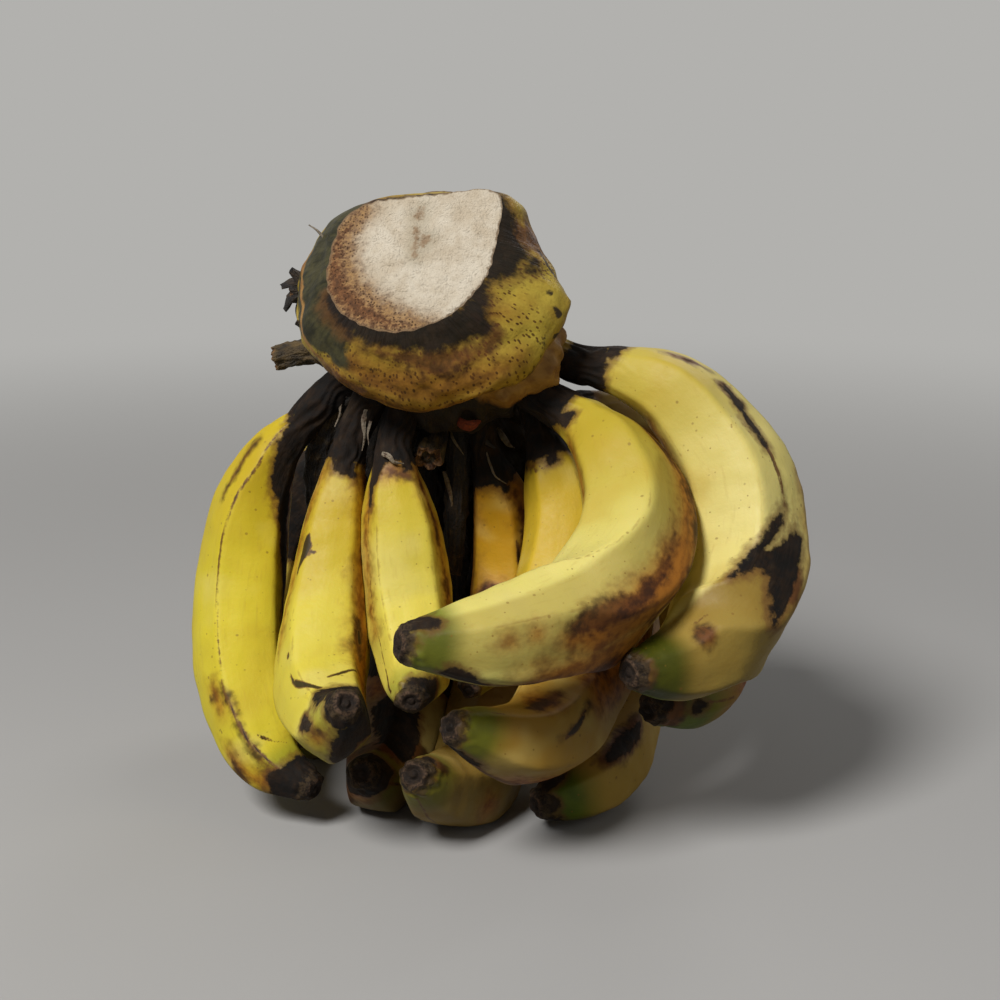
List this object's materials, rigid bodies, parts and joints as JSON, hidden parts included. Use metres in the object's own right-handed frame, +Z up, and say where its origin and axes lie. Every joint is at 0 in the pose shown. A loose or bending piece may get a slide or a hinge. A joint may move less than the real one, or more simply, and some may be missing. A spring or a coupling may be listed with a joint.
{
  "type": "bunch of bananas",
  "caption": "Picked bunch of ripe bananas: curved ridged fingers in hands on a short sawn stalk, resting on its lowest fingers.",
  "frame": {"origin": "middle of the bunch's footprint box, on the surface that it rests on", "axes": "+Z up; +Y away from the side that the sawn end of the stalk looks towards; +X to the right, seen from that side"},
  "size_m": [0.2135, 0.2309, 0.2175],
  "materials": {
    "peel": "satin ripe banana peel, yellow with brown freckles, bruises, browned ridges and dark blossom ends",
    "stalk_skin": "matt stalk skin, yellow-brown with dark patches, and a pale fibrous sawn face"
  },
  "bodies": {
    "root": {"stalk": "stalk_skin", "hand1_banana1": "peel", "hand1_banana2": "peel", "hand1_banana3": "peel", "hand1_banana4": "peel", "hand1_banana5": "peel", "hand1_banana6": "peel", "hand1_banana7": "peel", "hand2_banana1": "peel", "hand2_banana2": "peel", "hand2_banana3": "peel", "hand2_banana4": "peel", "hand2_banana5": "peel", "hand2_banana6": "peel", "hand2_banana7": "peel", "hand2_banana8": "peel", "hand2_banana9": "peel", "hand2_banana10": "peel"}
  },
  "joints": []
}
